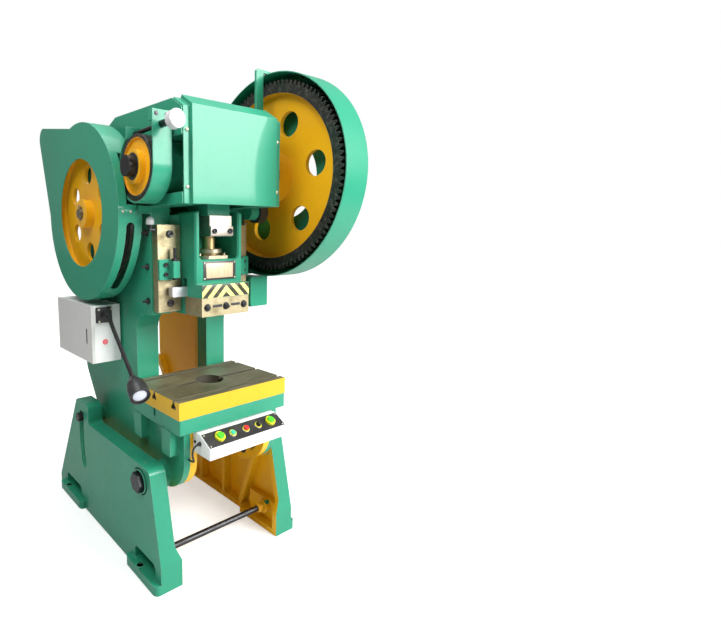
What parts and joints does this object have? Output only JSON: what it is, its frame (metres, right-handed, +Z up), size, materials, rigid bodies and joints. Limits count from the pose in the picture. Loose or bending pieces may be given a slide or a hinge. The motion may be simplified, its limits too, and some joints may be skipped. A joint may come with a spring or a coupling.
{
  "type": "mechanical stamping press",
  "caption": "Open-back inclinable crank press with flywheel, gear drive, ram, table, guards and palm-button panel",
  "frame": {"origin": "on the floor, at the centre of the four foundation holes", "axes": "+X to the machine's right seen from the operator's side, +Y to the rear, +Z up"},
  "size_m": [0.9139, 1.3984, 2.1043],
  "materials": {
    "teal_paint": "gloss hammered paint",
    "yellow_paint": "gloss paint",
    "bright_yellow_paint": "gloss paint",
    "cabinet_paint": "powder coat",
    "door_paint": "powder coat",
    "cast_iron_dark": "oiled casting",
    "machined_steel": "ground and oiled",
    "dark_steel": "blackened",
    "bronze": "turned bronze",
    "belt_rubber": "matt",
    "lining": "woven friction lining",
    "white_plastic": "gloss",
    "black_plastic": "matt",
    "cable_jacket": "matt",
    "palm_green": "gloss",
    "start_green": "gloss",
    "stop_red": "gloss",
    "collar_yellow": "gloss",
    "signal_red": "gloss"
  },
  "bodies": {
    "stand": {"left_leg": "teal_paint", "right_leg": "teal_paint", "tie_rod": "dark_steel"},
    "frame": {"press_body": "teal_paint", "pivot_bolts": "dark_steel", "clamp_bolts": "dark_steel", "bolster_plate": "bright_yellow_paint", "left_gib": "machined_steel", "right_gib": "machined_steel", "knockout_brackets": "teal_paint", "crank_bushes": "bronze", "bearing_caps": "teal_paint", "shaft_bearings": "bronze", "head_cover": "teal_paint", "flywheel_guard": "teal_paint", "gear_guard": "teal_paint", "guard_stays": "teal_paint", "motor_bracket": "teal_paint", "drive_motor": "teal_paint", "v_belts": "belt_rubber", "brake_bracket": "teal_paint", "brake_band": "teal_paint", "brake_lining": "lining", "brake_tension_rod": "dark_steel", "panel_box": "cabinet_paint", "panel_face": "black_plastic", "button_collars": "collar_yellow", "panel_cable": "cable_jacket", "cabinet_case": "cabinet_paint", "indicator_light": "signal_red", "work_lamp_base": "black_plastic", "work_lamp_arm": "dark_steel", "work_lamp_head": "black_plastic", "trip_box": "teal_paint"},
    "crank": {"crankshaft": "dark_steel", "crank_end_plate": "machined_steel", "clutch_collar": "machined_steel", "brake_drum": "yellow_paint"},
    "eccentric": {"eccentric_sleeve": "bronze"},
    "rod": {"connecting_rod": "teal_paint", "rod_cap": "teal_paint", "rod_clamp": "machined_steel"},
    "slide": {"ram": "teal_paint", "ball_cap": "dark_steel", "shank_clamp": "machined_steel"},
    "screw": {"adjusting_screw": "machined_steel"},
    "knockout": {"knockout_bar": "machined_steel"},
    "big_gear": {"bull_gear": "yellow_paint"},
    "second_shaft": {"pinion_shaft": "machined_steel", "flywheel": "yellow_paint"},
    "pulley": {"motor_pulley": "cast_iron_dark"},
    "door": {"cabinet_door": "door_paint"},
    "knob": {"brake_knob": "white_plastic"},
    "left_button": {"left_palm_button": "palm_green"},
    "start": {"start_button": "start_green"},
    "stop": {"stop_button": "stop_red"},
    "selector": {"selector_knob": "black_plastic"},
    "right_button": {"right_palm_button": "palm_green"},
    "trip": {"trip_rod": "machined_steel"},
    "lever": {"trip_lever": "cast_iron_dark"}
  },
  "joints": [
    {"name": "frame_tilt", "type": "hinge", "parent": "stand", "child": "frame", "pos_m": [0, -0.405, 0.408], "axis": [-1, 0, 0], "range_deg": [0, 22]},
    {"name": "crank_turn", "type": "hinge", "parent": "frame", "child": "crank", "pos_m": [0, -0.395, 1.646], "axis": [1, 0, 0], "continuous": true},
    {"name": "sleeve_turn", "type": "hinge", "parent": "crank", "child": "eccentric", "pos_m": [0, -0.395, 1.66225], "axis": [1, 0, 0], "continuous": true},
    {"name": "rod_turn", "type": "hinge", "parent": "eccentric", "child": "rod", "pos_m": [0, -0.395, 1.6785], "axis": [1, 0, 0], "continuous": true},
    {"name": "die_height", "type": "slide", "parent": "rod", "child": "slide", "axis": [0, 0, 1], "range_m": [-0.037, 0.018]},
    {"name": "screw_turn", "type": "hinge", "parent": "slide", "child": "screw", "pos_m": [0, -0.395, 1.262], "axis": [0, 0, 1], "range_deg": [-2232, 1092]},
    {"name": "knockout_lift", "type": "slide", "parent": "slide", "child": "knockout", "axis": [0, 0, 1], "range_m": [0, 0.012]},
    {"name": "gear_turn", "type": "hinge", "parent": "frame", "child": "big_gear", "pos_m": [0, -0.395, 1.646], "axis": [1, 0, 0], "continuous": true},
    {"name": "second_shaft_turn", "type": "hinge", "parent": "frame", "child": "second_shaft", "pos_m": [0, 0.05507, 1.49103], "axis": [1, 0, 0], "continuous": true},
    {"name": "pulley_turn", "type": "hinge", "parent": "frame", "child": "pulley", "pos_m": [0, 0.41, 1.786], "axis": [1, 0, 0], "continuous": true},
    {"name": "door_swing", "type": "hinge", "parent": "frame", "child": "door", "pos_m": [-0.392, 0.37, 0.95], "axis": [0, 0, -1], "range_deg": [0, 110]},
    {"name": "knob_turn", "type": "hinge", "parent": "frame", "child": "knob", "pos_m": [-0.302, -0.598, 1.779], "axis": [0, 1, 0], "range_deg": [0, 360]},
    {"name": "left_button_press", "type": "slide", "parent": "frame", "child": "left_button", "axis": [0, 0.5005, -0.8657], "range_m": [0, 0.005], "stiffness_N_per_m": 400, "springref_m": -0.003},
    {"name": "start_press", "type": "slide", "parent": "frame", "child": "start", "axis": [0, 0.5005, -0.8657], "range_m": [0, 0.004], "stiffness_N_per_m": 400, "springref_m": -0.003},
    {"name": "stop_press", "type": "slide", "parent": "frame", "child": "stop", "axis": [0, 0.5005, -0.8657], "range_m": [0, 0.004], "stiffness_N_per_m": 400, "springref_m": -0.003},
    {"name": "selector_turn", "type": "hinge", "parent": "frame", "child": "selector", "pos_m": [0.07, -0.633, 0.6115], "axis": [0, -0.5005, 0.8657], "range_deg": [-45, 45]},
    {"name": "right_button_press", "type": "slide", "parent": "frame", "child": "right_button", "axis": [0, 0.5005, -0.8657], "range_m": [0, 0.005], "stiffness_N_per_m": 400, "springref_m": -0.003},
    {"name": "trip_pull", "type": "slide", "parent": "frame", "child": "trip", "axis": [0, 0, 1], "range_m": [-0.02, 0], "stiffness_N_per_m": 1500, "springref_m": 0.02},
    {"name": "lever_turn", "type": "hinge", "parent": "frame", "child": "lever", "pos_m": [0.28, -0.395, 1.49], "axis": [1, 0, 0], "range_deg": [-16, 0]}
  ],
  "couplings": [
    {"joint": "sleeve_turn", "follows": "crank_turn", "ratio": -2},
    {"joint": "rod_turn", "follows": "crank_turn", "ratio": 1},
    {"joint": "screw_turn", "follows": "die_height", "rad_per_m": 1047.2},
    {"joint": "second_shaft_turn", "follows": "gear_turn", "ratio": -6},
    {"joint": "pulley_turn", "follows": "gear_turn", "ratio": -24.37},
    {"joint": "lever_turn", "follows": "trip_pull", "rad_per_m": 13.333}
  ]
}
